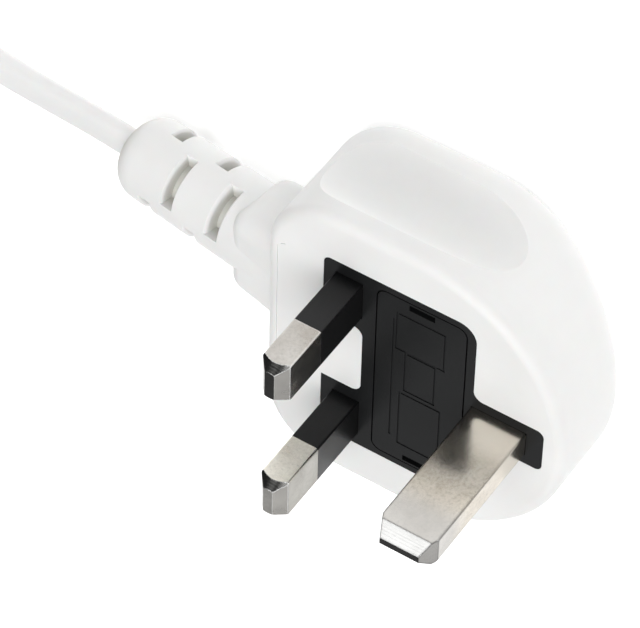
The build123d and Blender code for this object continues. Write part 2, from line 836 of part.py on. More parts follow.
def make_connector_body():
    """Two-hole appliance connector: tapered boot, grip and figure-of-eight nose."""
    boot_cone = Cone(connector_boot_radius, connector_boot_root_radius, connector_boot_length)
    tail = Pos(0, 0, connector_boot_length / 2) * boot_cone
    tail = fillet(tail.edges().sort_by(Axis.Z)[0], connector_boot_radius / 4)
    grip_sketch = RectangleRounded(
        connector_grip_width, connector_grip_height, connector_grip_round
    )
    grip = extrude(grip_sketch, connector_grip_length)
    grip = fillet(grip.edges().group_by(Axis.Z)[0], connector_grip_round / 2)
    lobes = Rectangle(contact_pitch, connector_nose_web)
    for side in (-1, 1):
        lobes = lobes + Pos(side * contact_pitch / 2, 0) * Circle(connector_nose_radius)
    nose = Pos(0, 0, connector_grip_length) * extrude(lobes, connector_nose_length)
    shell = tail + Pos(0, 0, connector_boot_length) * (grip + nose)
    front = connector_boot_length + connector_grip_length + connector_nose_length
    for side in (-1, 1):
        x = side * contact_pitch / 2
        shell = shell - Pos(x, 0, front) * Cylinder(contact_hole_radius, 4 * contact_set_back)
        deep = contact_length + mould_gap
        pocket = Cylinder(contact_outer_radius + mould_gap, deep)
        shell = shell - Pos(x, 0, front - contact_set_back - deep / 2) * pocket
    return one_solid(connector_frame() * shell)


def make_connector_contact(side):
    """Springy brass sleeve behind one hole of the connector."""
    front = connector_boot_length + connector_grip_length + connector_nose_length
    middle = front - contact_set_back - contact_length / 2
    sleeve = Cylinder(contact_outer_radius, contact_length)
    bore_end = Pos(0, 0, sleeve_wall) * Cylinder(contact_bore_radius, contact_length)
    sleeve = sleeve - bore_end
    return one_solid(connector_frame() * Pos(side * contact_pitch / 2, 0, middle) * sleeve)


nodes = {
    "plug_body": make_plug_body(),
    "pin_carrier": make_pin_carrier(),
    "carrier_cover": make_carrier_cover(),
    "line_pin": make_line_pin(),
    "neutral_pin": make_neutral_pin(),
    "earth_pin": make_earth_pin(),
    "line_pin_sleeve": make_sleeve(1),
    "neutral_pin_sleeve": make_sleeve(-1),
    "line_fuse_clip": make_line_clip(),
    "load_fuse_clip": make_load_clip(),
    "sheath_end": make_sheath_end(),
    "brown_core": make_core(1),
    "blue_core": make_core(-1),
    "brown_conductor": make_conductor(1),
    "blue_conductor": make_conductor(-1),
    "fuse_carrier": make_fuse_carrier(),
    "fuse_tube": make_fuse_tube(),
    "fuse_cap_line": make_fuse_cap(1),
    "fuse_cap_load": make_fuse_cap(-1),
    "fuse_wire": make_fuse_wire(),
    "mains_lead": make_lead(lead_route),
    "cord_coil": make_cord_coil(),
    "lead_tail": make_lead(tail_route),
    "connector_body": make_connector_body(),
    "connector_contact_1": make_connector_contact(-1),
    "connector_contact_2": make_connector_contact(1),
}

os.makedirs("parts", exist_ok=True)
for name, solid in nodes.items():
    export_step(solid, f"parts/{name}.step")
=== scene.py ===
"""Finishes, lead and studio for a moulded three-pin mains plug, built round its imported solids."""

from __future__ import annotations

import logging
import math
from dataclasses import dataclass
from enum import Enum
from typing import Iterable

import bmesh
import bpy
from mathutils import Matrix, Vector

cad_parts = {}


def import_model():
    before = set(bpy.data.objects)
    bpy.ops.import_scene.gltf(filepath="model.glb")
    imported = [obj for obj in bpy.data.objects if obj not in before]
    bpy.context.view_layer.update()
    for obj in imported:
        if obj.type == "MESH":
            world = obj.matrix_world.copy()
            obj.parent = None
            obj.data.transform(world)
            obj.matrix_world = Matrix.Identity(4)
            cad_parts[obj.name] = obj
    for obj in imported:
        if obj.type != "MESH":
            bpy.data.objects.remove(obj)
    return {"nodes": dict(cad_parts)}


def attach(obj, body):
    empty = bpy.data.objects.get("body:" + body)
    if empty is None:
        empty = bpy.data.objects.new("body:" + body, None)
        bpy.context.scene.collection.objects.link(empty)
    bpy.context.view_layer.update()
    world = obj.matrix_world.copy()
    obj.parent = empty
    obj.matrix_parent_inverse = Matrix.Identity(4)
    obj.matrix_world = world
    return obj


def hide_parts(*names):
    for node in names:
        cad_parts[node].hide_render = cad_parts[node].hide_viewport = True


logging.basicConfig(level=logging.INFO, format="%(message)s")
log = logging.getLogger("mains_plug")

MM = 0.001
Z_AXIS = Vector((0.0, 0.0, 1.0))

Colour = tuple[float, float, float, float]
Triple = tuple[float, float, float]
Link = tuple[bpy.types.Node, str | int, bpy.types.Node, str | int]

# Share of a tint that shows where its mask is full.
TINT_SHARE = 0.9

# Places of the colour sockets on a Mix node.
MIX_COLOUR_A = 6
MIX_COLOUR_B = 7
MIX_COLOUR_RESULT = 2

# Bezier handle of a quarter circle, as a share of its radius.
QUARTER_HANDLE = 0.5523


def link(obj: bpy.types.Object) -> bpy.types.Object:
    """Puts an object into the scene and returns it."""
    bpy.context.scene.collection.objects.link(obj)
    return obj


def scaled(colour: Colour, factor: float) -> Colour:
    """Makes a colour lighter or darker, up to full white.

    Args:
        colour: The colour.
        factor: How much lighter it gets, or darker where this is under 1.
    """
    return tuple(min(1.0, factor * part) for part in colour[:3]) + (1.0,)


def new_material(name: str) -> tuple[bpy.types.Material, bpy.types.ShaderNode]:
    """Makes a node material.

    Args:
        name: The material's name.

    Returns:
        The material and its Principled shader.
    """
    material = bpy.data.materials.new(name)
    material.use_nodes = True
    return material, material.node_tree.nodes["Principled BSDF"]


def dress(obj: bpy.types.Object, material: bpy.types.Material) -> None:
    """Gives every material slot of a piece the same finish.

    Args:
        obj: The piece.
        material: The finish.
    """
    if not obj.material_slots:
        obj.data.materials.append(material)
    for slot in obj.material_slots:
        slot.material = material
    log.info("dressed %s in %s", obj.name, material.name)


def set_inputs(node: bpy.types.Node, **values: float) -> None:
    """Sets plain values on a node.

    Args:
        node: The node.
        values: Values of its inputs, named with underscores for spaces.
    """
    for name, value in values.items():
        node.inputs[name.replace("_", " ").title()].default_value = value


def add_node(
    tree: bpy.types.NodeTree,
    kind: str,
    operation: str = "",
    second: float | Triple | None = None,
    **values: float,
) -> bpy.types.Node:
    """Adds a shader node.

    Args:
        tree: The tree that takes the node.
        kind: Its type, without the ShaderNode in front.
        operation: What it does, where it is a maths node.
        second: Fixed second operand of a maths node.
        values: Values of its other inputs, named with underscores for spaces.

    Returns:
        The node.
    """
    node = tree.nodes.new("ShaderNode" + kind)
    if operation:
        node.operation = operation
    if second is not None:
        node.inputs[1].default_value = second
    set_inputs(node, **values)
    return node


def join(tree: bpy.types.NodeTree, *rows: Link) -> None:
    """Links nodes.

    Args:
        tree: The tree that holds them.
        rows: For each link a node and its output, then a node and its input.
    """
    for source, output, target, socket in rows:
        tree.links.new(source.outputs[output], target.inputs[socket])


class Effects:
    """Shader groups that several finishes share."""

    def __init__(self) -> None:
        """Builds each group once."""
        self.grain = self._grain_group()
        self.handling = self._handling_group()
        self.drawn_lines = self._drawn_lines_group()
        self.specks = self._specks_group()
        self.turned_rings = self._turned_rings_group()

    @staticmethod
    def _open_group(
        name: str, inputs: Iterable[tuple[str, float]], outputs: Iterable[str]
    ) -> tuple[bpy.types.NodeTree, bpy.types.Node, bpy.types.Node]:
        """Starts a group with float sockets.

        Args:
            name: The group's name.
            inputs: Socket names with their default values.
            outputs: Names of the output sockets.

        Returns:
            The group with its input and output nodes.
        """
        tree = bpy.data.node_groups.new(name, "ShaderNodeTree")
        for socket_name, default in inputs:
            socket = tree.interface.new_socket(
                name=socket_name, in_out="INPUT", socket_type="NodeSocketFloat"
            )
            socket.default_value = default
        for socket_name in outputs:
            tree.interface.new_socket(
                name=socket_name, in_out="OUTPUT", socket_type="NodeSocketFloat"
            )
        return tree, tree.nodes.new("NodeGroupInput"), tree.nodes.new("NodeGroupOutput")

    @classmethod
    def _grain_group(cls) -> bpy.types.NodeTree:
        """Fine grain that a spark-eroded mould leaves on plastic."""
        tree, inlet, outlet = cls._open_group(
            "mould_grain", [("Scale", 5000.0), ("Coarse Scale", 900.0)], ["Height"]
        )
        place = add_node(tree, "TexCoord")
        fine = add_node(tree, "TexNoise", detail=3.0)
        coarse = add_node(tree, "TexNoise", detail=2.0)
        blend = add_node(tree, "Mix", factor=0.35)
        join(
            tree,
            (place, "Object", fine, "Vector"),
            (place, "Object", coarse, "Vector"),
            (inlet, "Scale", fine, "Scale"),
            (inlet, "Coarse Scale", coarse, "Scale"),
            (fine, "Fac", blend, "A"),
            (coarse, "Fac", blend, "B"),
            (blend, "Result", outlet, "Height"),
        )
        return tree

    @classmethod
    def _handling_group(cls) -> bpy.types.NodeTree:
        """Broad soft patches where hands have polished or dulled a surface."""
        tree, inlet, outlet = cls._open_group(
            "handling", [("Scale", 90.0), ("Low", 0.3), ("High", 0.5)], ["Value", "Mask"]
        )
        place = add_node(tree, "TexCoord")
        patches = add_node(tree, "TexNoise", detail=4.0, roughness=0.6)
        spread = add_node(tree, "MapRange", from_min=0.35, from_max=0.65)
        join(
            tree,
            (place, "Object", patches, "Vector"),
            (inlet, "Scale", patches, "Scale"),
            (patches, "Fac", spread, "Value"),
            (inlet, "Low", spread, "To Min"),
            (inlet, "High", spread, "To Max"),
            (spread, "Result", outlet, "Value"),
            (patches, "Fac", outlet, "Mask"),
        )
        return tree

    @classmethod
    def _drawn_lines_group(cls) -> bpy.types.NodeTree:
        """Fine lines along Z that drawing and polishing leave on a bar of metal."""
        tree, inlet, outlet = cls._open_group("drawn_lines", [("Scale", 1600.0)], ["Height"])
        place = add_node(tree, "TexCoord")
        stretch = add_node(tree, "VectorMath", "MULTIPLY", (1.0, 1.0, 0.05))
        lines = add_node(tree, "TexNoise", detail=3.0)
        join(
            tree,
            (place, "Object", stretch, 0),
            (stretch, "Vector", lines, "Vector"),
            (inlet, "Scale", lines, "Scale"),
            (lines, "Fac", outlet, "Height"),
        )
        return tree

    @classmethod
    def _specks_group(cls) -> bpy.types.NodeTree:
        """Small dark specks, few and uneven, as on handled plating."""
        tree, inlet, outlet = cls._open_group(
            "specks", [("Scale", 2600.0), ("Start", 0.62), ("Full", 0.74)], ["Mask"]
        )
        place = add_node(tree, "TexCoord")
        dots = add_node(tree, "TexNoise", detail=5.0, roughness=0.7)
        step = add_node(tree, "MapRange")
        join(
            tree,
            (place, "Object", dots, "Vector"),
            (inlet, "Scale", dots, "Scale"),
            (dots, "Fac", step, "Value"),
            (inlet, "Start", step, "From Min"),
            (inlet, "Full", step, "From Max"),
            (step, "Result", outlet, "Mask"),
        )
        return tree

    @classmethod
    def _turned_rings_group(cls) -> bpy.types.NodeTree:
        """Fine rings round the Z axis on a pin's tip, and masks of the tip and of its flanks.

        The tip is what lies above Start and isn't a flat side of the bar that faces along Y.
        """
        tree, inlet, outlet = cls._open_group(
            "turned_rings", [("Start", 0.036), ("Scale", 6500.0)], ["Height", "Tip", "Flank"]
        )
        place = add_node(tree, "TexCoord")
        parts = add_node(tree, "SeparateXYZ")
        level = add_node(tree, "CombineXYZ")
        rings = add_node(tree, "TexNoise", detail=1.0)
        above = add_node(tree, "Math", "GREATER_THAN")
        facing = add_node(tree, "SeparateXYZ")
        either = add_node(tree, "Math", "ABSOLUTE")
        off_bar = add_node(tree, "Math", "LESS_THAN", 0.95)
        sloped = add_node(tree, "MapRange", from_min=0.25, from_max=0.45)
        tip = add_node(tree, "Math", "MULTIPLY")
        flank = add_node(tree, "Math", "MULTIPLY")
        cut = add_node(tree, "Math", "MULTIPLY")
        join(
            tree,
            (place, "Object", parts, "Vector"),
            (place, "Normal", facing, "Vector"),
            (parts, "Z", level, "Z"),
            (parts, "Z", above, 0),
            (inlet, "Start", above, 1),
            (facing, "Y", either, 0),
            (either, "Value", off_bar, 0),
            (either, "Value", sloped, "Value"),
            (above, "Value", tip, 0),
            (off_bar, "Value", tip, 1),
            (sloped, "Result", flank, 0),
            (tip, "Value", flank, 1),
            (level, "Vector", rings, "Vector"),
            (inlet, "Scale", rings, "Scale"),
            (rings, "Fac", cut, 0),
            (flank, "Value", cut, 1),
            (cut, "Value", outlet, "Height"),
            (tip, "Value", outlet, "Tip"),
            (flank, "Value", outlet, "Flank"),
        )
        return tree


def place_group(
    tree: bpy.types.NodeTree, group: bpy.types.NodeTree, **values: float
) -> bpy.types.Node:
    """Puts a shared group into a material.

    Args:
        tree: The material's tree.
        group: The shared group.
        values: Values of the group's inputs, in lower case.

    Returns:
        The group's node.
    """
    node = add_node(tree, "Group")
    node.node_tree = group
    set_inputs(node, **values)
    return node


def bump_from(
    shader: bpy.types.ShaderNode, height: bpy.types.NodeSocket, depth: float, strength: float
) -> None:
    """Lays a relief over the normal that the shader has so far.

    Args:
        shader: The material's shader.
        height: The socket that gives the relief's height.
        depth: Height of the relief, in metres.
        strength: How strongly the relief shows.
    """
    tree = shader.id_data
    bump = add_node(tree, "Bump", distance=depth, strength=strength)
    normal = shader.inputs["Normal"]
    if normal.is_linked:
        tree.links.new(normal.links[0].from_socket, bump.inputs["Normal"])
    tree.links.new(height, bump.inputs["Height"])
    tree.links.new(bump.outputs["Normal"], normal)


def tint_between(
    shader: bpy.types.ShaderNode,
    mask: bpy.types.NodeSocket,
    colours: tuple[Colour, Colour],
    span: tuple[float, float],
) -> None:
    """Drives the base colour between two tints by a mask.

    Args:
        shader: The material's shader.
        mask: The socket that gives the mask.
        colours: The tints at the low and the high end.
        span: The mask values at which each tint is reached.
    """
    tree = shader.id_data
    ramp = add_node(tree, "ValToRGB")
    for element, place, colour in zip(ramp.color_ramp.elements, span, colours):
        element.position = place
        element.color = colour
    tree.links.new(mask, ramp.inputs["Fac"])
    tree.links.new(ramp.outputs["Color"], shader.inputs["Base Color"])


def tint_over(
    shader: bpy.types.ShaderNode,
    mask: bpy.types.NodeSocket,
    colour: Colour,
    share: float = TINT_SHARE,
) -> None:
    """Lays one more tint over the base colour where a mask is high.

    Args:
        shader: The material's shader.
        mask: The socket that gives the mask, from 0 to 1.
        colour: The tint.
        share: How much of the tint shows where the mask is 1.
    """
    tree = shader.id_data
    under = shader.inputs["Base Color"].links[0].from_socket
    amount = add_node(tree, "Math", "MULTIPLY", share)
    amount.use_clamp = True
    blend = add_node(tree, "Mix")
    blend.data_type = "RGBA"
    tree.links.new(mask, amount.inputs[0])
    tree.links.new(amount.outputs["Value"], blend.inputs["Factor"])
    tree.links.new(under, blend.inputs[MIX_COLOUR_A])
    blend.inputs[MIX_COLOUR_B].default_value = colour
    tree.links.new(blend.outputs[MIX_COLOUR_RESULT], shader.inputs["Base Color"])


@dataclass(frozen=True)
class SlotShade:
    """Painted shade on the floors of the slots in the strain relief, told by their distance from
    its axis.

    Attributes:
        root: A point on the strain relief's axis, in metres.
        along: Direction of the axis, towards the lead.
        clean: Distance from the axis beyond which no shade is painted, in metres.
        full_shade_reach: Distance from the axis within which the painted shade is full, in metres.
        start: How far from the root along the axis the slots begin, in metres.
        tint: Colour of the painted shade.
    """

    root: Triple = (-0.0123, 0.0, 0.0101)
    along: Triple = (-0.98953, 0.0, -0.14436)
    clean: float = 0.0056
    full_shade_reach: float = 0.0044
    start: float = 0.0105
    tint: Colour = (0.60, 0.59, 0.55, 1.0)

    def lay(self, shader: bpy.types.ShaderNode) -> None:
        """Paints the shade over the white moulding.

        Args:
            shader: The material's shader.
        """
        tree = shader.id_data
        place = add_node(tree, "TexCoord")
        from_root = add_node(tree, "VectorMath", "SUBTRACT", self.root)
        across = add_node(tree, "VectorMath", "CROSS_PRODUCT", self.along)
        reach = add_node(tree, "VectorMath", "LENGTH")
        depth = add_node(tree, "MapRange", from_min=self.clean, from_max=self.full_shade_reach)
        run = add_node(tree, "VectorMath", "DOT_PRODUCT", self.along)
        past_start = add_node(tree, "Math", "GREATER_THAN", self.start)
        in_slots = add_node(tree, "Math", "MULTIPLY")
        join(
            tree,
            (place, "Object", from_root, 0),
            (from_root, "Vector", across, 0),
            (across, "Vector", reach, 0),
            (reach, "Value", depth, "Value"),
            (from_root, "Vector", run, 0),
            (run, "Value", past_start, 0),
            (past_start, "Value", in_slots, 0),
            (depth, "Result", in_slots, 1),
        )
        # Painted shade: the slot floors near the axis and past the start get the darker tint.
        tint_over(shader, in_slots.outputs["Value"], self.tint)


@dataclass(frozen=True)
class MouldedPlastic:
    """Plastic straight from the mould: a fine grain, with soft patches from handling.

    Attributes:
        name: Name of the material.
        colours: Darker and lighter tint of the plastic.
        roughness: Roughness where it is polished and where it is dull.
        grain_depth: Height of the mould's grain, in metres.
        glow: Share of light that goes a little way into the plastic.
        glow_depth: How far that light goes, in metres.
        sheen: Specular level of its skin.
        slots: Painted shade in the slots, on the moulding that has them.
    """

    name: str
    colours: tuple[Colour, Colour]
    roughness: tuple[float, float]
    grain_depth: float = 0.00002
    glow: float = 0.0
    glow_depth: float = 0.0012
    sheen: float = 0.5
    slots: SlotShade | None = None

    def build(self, effects: Effects) -> bpy.types.Material:
        """Makes the material from the shared effects."""
        material, shader = new_material(self.name)
        tree = material.node_tree
        grain = place_group(tree, effects.grain)
        hands = place_group(tree, effects.handling, low=self.roughness[0], high=self.roughness[1])
        shader.inputs["Specular IOR Level"].default_value = self.sheen
        bump_from(shader, grain.outputs["Height"], self.grain_depth, strength=0.6)
        join(tree, (hands, "Value", shader, "Roughness"))
        tint_between(shader, hands.outputs["Mask"], self.colours, span=(0.3, 0.7))
        if self.slots:
            self.slots.lay(shader)
        if self.glow:
            set_inputs(shader, subsurface_weight=self.glow, subsurface_scale=self.glow_depth)
        return material


@dataclass(frozen=True)
class DrawnMetal:
    """Bar or strip metal with fine drawn lines and a patchy tarnish.

    Attributes:
        name: Name of the material.
        colours: Tarnished and bright tint.
        roughness: Roughness of the bright and of the tarnished metal.
        line_depth: Height of the drawn lines, in metres.
        patch_scale: Scale of the tarnish.
        painted_shade_ends: How much painted shade darkens the pin's end faces, those that look
            along +Z.
        painted_shade_side: How much painted shade darkens the side that faces +X.
        painted_shade_tint: Colour of that painted shade.
        mottle: How strongly the plating is mottled.
        clean_below: Height below which the plating is clean, in metres, or 0 for none.
        rubbed_above: Height above which contacts have rubbed the tarnish off, or 0 for none.
        rubbed_tint: Tint of the rubbed plating.
        fade: Length over which the clean or rubbed plating fades in, in metres.
        edge: Radius to which sharp edges are polished, in metres.
        rim: Radius of the rims between faces that get a painted line, in metres.
        painted_rim_tint: Colour painted on the rims: a painted highlight where light, painted shade
            where dark.
        long_rims: Whether the rims along the bar show too, beside those of the tip.
        tip_from: Height above which the tip is cut and gets its painted shade, in metres, or 0 for
            none.
        tip_shade_tint: Colour of the painted shade on the tip.
        ring_depth: Depth of the rings on the tip's turned flanks, in metres.
        flank_reflection_tint: Colour of the painted reflection on the tip's turned flanks.
    """

    name: str
    colours: tuple[Colour, Colour]
    roughness: tuple[float, float]
    line_depth: float = 0.000015
    patch_scale: float = 160.0
    painted_shade_ends: float = 0.0
    painted_shade_side: float = 0.0
    painted_shade_tint: Colour = (0.03, 0.03, 0.03, 1.0)
    mottle: float = 0.2
    clean_below: float = 0.0
    rubbed_above: float = 0.0
    rubbed_tint: Colour = (0.45, 0.447, 0.44, 1.0)
    fade: float = 0.005
    edge: float = 0.00012
    rim: float = 0.0002
    painted_rim_tint: Colour = (0.95, 0.95, 0.94, 1.0)
    long_rims: bool = False
    tip_from: float = 0.0
    tip_shade_tint: Colour = (0.42, 0.41, 0.39, 1.0)
    ring_depth: float = 0.00002
    flank_reflection_tint: Colour = (0.08, 0.08, 0.078, 1.0)

    def build(self, effects: Effects) -> bpy.types.Material:
        """Makes the material from the shared effects."""
        material, shader = new_material(self.name)
        tree = material.node_tree
        edges = add_node(tree, "Bevel", radius=self.edge)
        lines = place_group(tree, effects.drawn_lines)
        tarnish = place_group(
            tree,
            effects.handling,
            scale=self.patch_scale,
            low=self.roughness[1],
            high=self.roughness[0],
        )
        shader.inputs["Metallic"].default_value = 1.0
        join(tree, (edges, "Normal", shader, "Normal"), (tarnish, "Value", shader, "Roughness"))
        bump_from(shader, lines.outputs["Height"], self.line_depth, strength=0.35)
        tint_between(shader, tarnish.outputs["Mask"], self.colours, span=(0.34, 0.6))
        mottle = place_group(tree, effects.specks, scale=2400.0, start=0.47, full=0.62)
        specks = place_group(tree, effects.specks)
        dark = scaled(self.colours[0], 0.5)
        tint_over(shader, mottle.outputs["Mask"], dark, self.mottle)
        tint_over(shader, specks.outputs["Mask"], dark)
        if self.clean_below:
            bright = scaled(self.colours[1], 1.35)
            end = self.clean_below - self.fade
            self._tint_heights(shader, self.clean_below, end, bright, share=0.8)
        if self.rubbed_above:
            end = self.rubbed_above + self.fade
            self._tint_heights(shader, self.rubbed_above, end, self.rubbed_tint, share=0.7)
        # Painted shade on the tip, a painted reflection on its flanks and painted lines on its
        # rims.
        if self.tip_from:
            self._turn_tip(shader, effects)
        # Painted shade on the faces that look along +Z and along +X.
        for axis, share in (("Z", self.painted_shade_ends), ("X", self.painted_shade_side)):
            if share:
                self._paint_shade_facing(shader, axis, share)
        return material

    @staticmethod
    def _tint_heights(
        shader: bpy.types.ShaderNode, start: float, end: float, tint: Colour, share: float
    ) -> None:
        """Lays a tint that fades in along the pin.

        Args:
            shader: The material's shader.
            start: Height at which the tint starts to show, in metres.
            end: Height at which it is full, in metres.
            tint: The tint.
            share: How much of it shows where it is full.
        """
        tree = shader.id_data
        place = add_node(tree, "TexCoord")
        parts = add_node(tree, "SeparateXYZ")
        faded = add_node(tree, "MapRange", from_min=start, from_max=end)
        faded.interpolation_type = "SMOOTHSTEP"
        join(tree, (place, "Object", parts, "Vector"), (parts, "Z", faded, "Value"))
        tint_over(shader, faded.outputs["Result"], tint, share)

    def _turn_tip(self, shader: bpy.types.ShaderNode, effects: Effects) -> None:
        """Paints shade on the tip and a reflection on its flanks, and cuts turned rings into the
        flanks.

        Args:
            shader: The material's shader.
            effects: The shared effects.
        """
        rings = place_group(shader.id_data, effects.turned_rings, start=self.tip_from)
        # Painted shade on the tip, and a painted reflection on its flanks.
        tint_over(shader, rings.outputs["Tip"], self.tip_shade_tint)
        bump_from(shader, rings.outputs["Height"], self.ring_depth, strength=1.0)
        tint_over(shader, rings.outputs["Flank"], self.flank_reflection_tint)
        self._paint_rim_lines(shader, rings.outputs["Tip"])

    def _paint_rim_lines(self, shader: bpy.types.ShaderNode, tip: bpy.types.NodeSocket) -> None:
        """Paints thin lines on the rims between faces: a painted highlight where their colour is
        light, painted shade where it is dark.

        Args:
            shader: The material's shader.
            tip: The socket that is 1 on the tip.
        """
        tree = shader.id_data
        rounded = add_node(tree, "Bevel", radius=self.rim)
        face = add_node(tree, "NewGeometry")
        agreement = add_node(tree, "VectorMath", "DOT_PRODUCT")
        on_rim = add_node(tree, "MapRange", from_min=0.995, from_max=0.95)
        shown = add_node(tree, "Math", "MULTIPLY", TINT_SHARE)
        join(
            tree,
            (rounded, "Normal", agreement, 0),
            (face, "Normal", agreement, 1),
            (agreement, "Value", on_rim, "Value"),
            (on_rim, "Result", shown, 0),
        )
        if not self.long_rims:
            tree.links.new(tip, shown.inputs[1])
        # Painted rim lines: light ones are painted highlights, dark ones painted shade.
        tint_over(shader, shown.outputs["Value"], self.painted_rim_tint)

    def _paint_shade_facing(self, shader: bpy.types.ShaderNode, axis: str, share: float) -> None:
        """Paints shade on the faces that look along an axis.

        Args:
            shader: The material's shader.
            axis: X, Y or Z; faces that look along its positive direction get painted shade.
            share: How strong that painted shade is.
        """
        tree = shader.id_data
        place = add_node(tree, "TexCoord")
        facing = add_node(tree, "SeparateXYZ")
        # Mask of the faces that get painted shade.
        dulled = add_node(tree, "MapRange", from_min=0.9, from_max=0.97)
        join(tree, (place, "Normal", facing, "Vector"), (facing, axis, dulled, "Value"))
        tint_over(shader, dulled.outputs["Result"], self.painted_shade_tint, share)


class Finish(Enum):
    """Every finish on the plug and its lead."""

    BODY_PVC = MouldedPlastic(
        "body_pvc",
        ((0.775, 0.775, 0.765, 1.0), (0.81, 0.81, 0.803, 1.0)),
        (0.36, 0.48),
        grain_depth=0.00001,
        glow=0.08,
        sheen=0.28,
        slots=SlotShade(),
    )
    CONNECTOR_PVC = MouldedPlastic(
        "connector_pvc",
        ((0.775, 0.775, 0.765, 1.0), (0.81, 0.81, 0.803, 1.0)),
        (0.36, 0.5),
        grain_depth=0.000014,
        glow=0.08,
    )
    LEAD_PVC = MouldedPlastic(
        "lead_pvc",
        ((0.775, 0.775, 0.77, 1.0), (0.81, 0.81, 0.807, 1.0)),
        (0.3, 0.42),
        grain_depth=0.000008,
        glow=0.1,
        sheen=0.3,
    )
    BLACK_MOULDING = MouldedPlastic(
        "black_moulding",
        ((0.007, 0.0075, 0.008, 1.0), (0.010, 0.0105, 0.011, 1.0)),
        (0.38, 0.5),
        sheen=0.2,
    )
    PIN_SLEEVE = MouldedPlastic(
        "pin_sleeve",
        ((0.006, 0.006, 0.0065, 1.0), (0.009, 0.009, 0.0095, 1.0)),
        (0.32, 0.42),
        grain_depth=0.000012,
        sheen=0.26,
    )
    # Painted shade: the line pin's nickel is a darker copy of the neutral pin's, with painted shade
    # on its ends and tip, a painted dark reflection on its flanks and painted highlights on its
    # rims.
    LINE_NICKEL = DrawnMetal(
        "line_pin_nickel_shaded",
        ((0.37, 0.345, 0.315, 1.0), (0.48, 0.465, 0.44, 1.0)),
        (0.16, 0.28),
        painted_shade_ends=0.95,
        long_rims=True,
        tip_from=0.0363,
    )
    # Painted shade on the neutral pin's +X side and tip, a painted dark reflection on its flanks
    # and painted highlights on its tip's rims.
    NEUTRAL_NICKEL = DrawnMetal(
        "neutral_pin_nickel",
        ((0.58, 0.55, 0.485, 1.0), (0.74, 0.715, 0.65, 1.0)),
        (0.16, 0.28),
        painted_shade_side=0.58,
        tip_from=0.0363,
    )
    # Painted shade on the earth pin's ends, tip and rims, and a painted light reflection on its
    # tip's flanks.
    EARTH_NICKEL = DrawnMetal(
        "earth_pin_nickel",
        ((0.44, 0.39, 0.32, 1.0), (0.60, 0.56, 0.495, 1.0)),
        (0.15, 0.27),
        patch_scale=120.0,
        painted_shade_ends=0.95,
        mottle=0.3,
        clean_below=0.029,
        rubbed_above=0.0335,
        rim=0.0004,
        painted_rim_tint=(0.02, 0.019, 0.018, 1.0),
        long_rims=True,
        tip_from=0.0404,
        tip_shade_tint=(0.27, 0.265, 0.255, 1.0),
        ring_depth=0.000006,
        flank_reflection_tint=(0.72, 0.72, 0.71, 1.0),
    )
    CAP_NICKEL = DrawnMetal(
        "cap_nickel",
        ((0.55, 0.53, 0.50, 1.0), (0.70, 0.69, 0.66, 1.0)),
        (0.15, 0.28),
    )
    SPRING_BRASS = DrawnMetal(
        "spring_brass",
        ((0.42, 0.27, 0.09, 1.0), (0.75, 0.55, 0.24, 1.0)),
        (0.24, 0.42),
    )
    COPPER = DrawnMetal(
        "copper_strand",
        ((0.45, 0.16, 0.08, 1.0), (0.80, 0.38, 0.22, 1.0)),
        (0.25, 0.4),
    )
    BROWN_PVC = MouldedPlastic(
        "brown_insulation",
        ((0.060, 0.022, 0.010, 1.0), (0.085, 0.032, 0.015, 1.0)),
        (0.4, 0.55),
    )
    BLUE_PVC = MouldedPlastic(
        "blue_insulation",
        ((0.008, 0.060, 0.300, 1.0), (0.012, 0.085, 0.380, 1.0)),
        (0.4, 0.55),
    )
    CERAMIC = MouldedPlastic(
        "fuse_ceramic",
        ((0.76, 0.73, 0.66, 1.0), (0.82, 0.80, 0.74, 1.0)),
        (0.12, 0.2),
        grain_depth=0.000004,
    )


@dataclass
class SubAssembly:
    """Pieces that belong together.

    Each kind of sub-assembly names the finish of its solids in its own table, finishes.

    Attributes:
        nodes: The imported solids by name.
        materials: The built material of each finish.
    """

    nodes: dict[str, bpy.types.Object]
    materials: dict[Finish, bpy.types.Material]

    def build(self) -> None:
        """Dresses the solids."""
        for name, finish in self.finishes.items():
            dress(self.nodes[name], self.materials[finish])


class Moulding(SubAssembly):
    """The white moulding, and the black carrier in its face with the cover behind it."""

    finishes = {
        "plug_body": Finish.BODY_PVC,
        "pin_carrier": Finish.BLACK_MOULDING,
        "carrier_cover": Finish.BLACK_MOULDING,
    }


class Pins(SubAssembly):
    """The three pins and the sleeves round the roots of two of them."""

    finishes = {
        "line_pin": Finish.LINE_NICKEL,
        "neutral_pin": Finish.NEUTRAL_NICKEL,
        "earth_pin": Finish.EARTH_NICKEL,
        "line_pin_sleeve": Finish.PIN_SLEEVE,
        "neutral_pin_sleeve": Finish.PIN_SLEEVE,
    }


class FuseDrawer(SubAssembly):
    """The lid that lifts out of the face, with the fuse in its jaws."""

    finishes = {
        "fuse_carrier": Finish.BLACK_MOULDING,
        "fuse_tube": Finish.CERAMIC,
        "fuse_cap_line": Finish.CAP_NICKEL,
        "fuse_cap_load": Finish.CAP_NICKEL,
        "fuse_wire": Finish.COPPER,
    }


class Wiring(SubAssembly):
    """The clips, the two cores and the moulded-in end of the sheath."""

    finishes = {
        "line_fuse_clip": Finish.SPRING_BRASS,
        "load_fuse_clip": Finish.SPRING_BRASS,
        "sheath_end": Finish.LEAD_PVC,
        "brown_core": Finish.BROWN_PVC,
        "blue_core": Finish.BLUE_PVC,
        "brown_conductor": Finish.COPPER,
        "blue_conductor": Finish.COPPER,
    }


class Connector(SubAssembly):
    """The two-hole appliance connector on the far end of the lead."""

    finishes = {
        "connector_body": Finish.CONNECTOR_PVC,
        "connector_contact_1": Finish.SPRING_BRASS,
        "connector_contact_2": Finish.SPRING_BRASS,
    }


